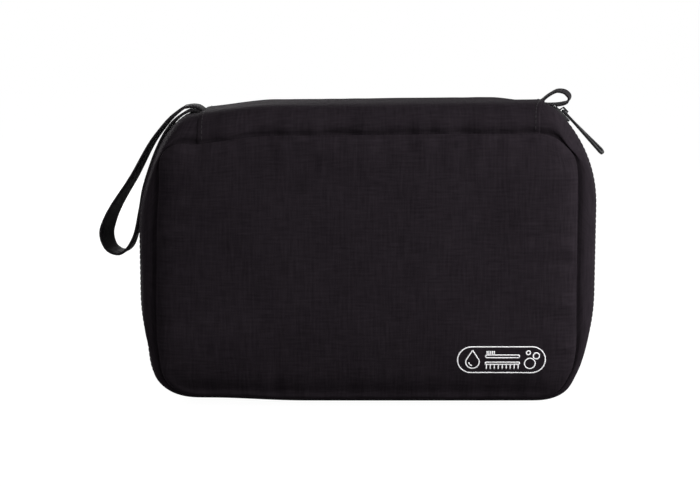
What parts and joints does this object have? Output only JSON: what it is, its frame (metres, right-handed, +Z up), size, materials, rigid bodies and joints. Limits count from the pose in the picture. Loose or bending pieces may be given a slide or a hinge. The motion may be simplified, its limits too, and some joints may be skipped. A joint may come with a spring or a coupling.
{
  "type": "hanging toiletry bag",
  "caption": "Soft rounded-box toiletry bag with a lid zipped on three sides that folds up about its top panel, a wrist strap and a swivel hook inside for hanging.",
  "frame": {"origin": "on the floor under the middle of the bag, on the flat underside of the main half", "axes": "+Z up, +X to the right as seen from the front, -Y towards the front panel"},
  "size_m": [0.2772, 0.096, 0.1722],
  "materials": {
    "shell_cloth": "matte black woven polyester with a faint heather",
    "foam": "open-cell padding",
    "lining": "smooth woven lining",
    "zip_tape": "woven zip tape",
    "zip_coil": "nylon coil",
    "webbing": "ribbed webbing",
    "elastic": "ribbed elastic and binding tape",
    "net": "knitted net",
    "slider_metal": "black coated die-cast metal",
    "hook_plastic": "moulded plastic"
  },
  "bodies": {
    "main": {"rear_panel": "shell_cloth", "rear_foam": "foam", "rear_gusset": "shell_cloth", "main_lining": "lining", "top_panel_rear": "shell_cloth", "zip_tape_rear": "zip_tape", "zip_coil_rear": "zip_coil", "tab_loop": "webbing", "inner_pocket": "lining", "pocket_elastic": "elastic"},
    "lid": {"front_panel": "shell_cloth", "front_foam": "foam", "front_gusset": "shell_cloth", "lid_lining": "lining", "top_panel_front": "shell_cloth", "zip_tape_front": "zip_tape", "zip_coil_front": "zip_coil", "mesh_net": "net", "mesh_binding": "elastic", "mesh_elastic": "elastic", "hook_tab": "webbing"},
    "slider": {"zip_slider": "slider_metal"},
    "pull": {"zip_pull": "slider_metal"},
    "strap": {"carry_strap": "webbing"},
    "hook_frame": {"hook_frame": "hook_plastic"},
    "hook": {"hook": "hook_plastic"}
  },
  "joints": [
    {"name": "lid_hinge", "type": "hinge", "parent": "main", "child": "lid", "pos_m": [0, -0.01, 0.167], "axis": [-1, 0, 0], "range_deg": [0, 180], "deforming": ["zip_tape_front"]},
    {"name": "slider_run", "type": "hinge", "parent": "main", "child": "slider", "pos_m": [0.055, -0.01, 0.10903], "axis": [0, 1, 0], "range_deg": [0, 39], "deforming": ["zip_coil_front", "zip_coil_rear"]},
    {"name": "pull_swing", "type": "hinge", "parent": "slider", "child": "pull", "pos_m": [0.10694, -0.01, 0.15919], "axis": [0, -1, 0], "range_deg": [0, 170]},
    {"name": "strap_swing", "type": "hinge", "parent": "main", "child": "strap", "pos_m": [-0.0932, 0.004, 0.1688], "axis": [0, -1, 0], "range_deg": [-150, 0]},
    {"name": "hook_tilt", "type": "hinge", "parent": "lid", "child": "hook_frame", "pos_m": [0, -0.02, 0.012], "axis": [-1, 0, 0], "range_deg": [0, 65]},
    {"name": "hook_spin", "type": "hinge", "parent": "hook_frame", "child": "hook", "pos_m": [0, -0.02, 0.022], "axis": [0, 0, 1], "continuous": true}
  ]
}
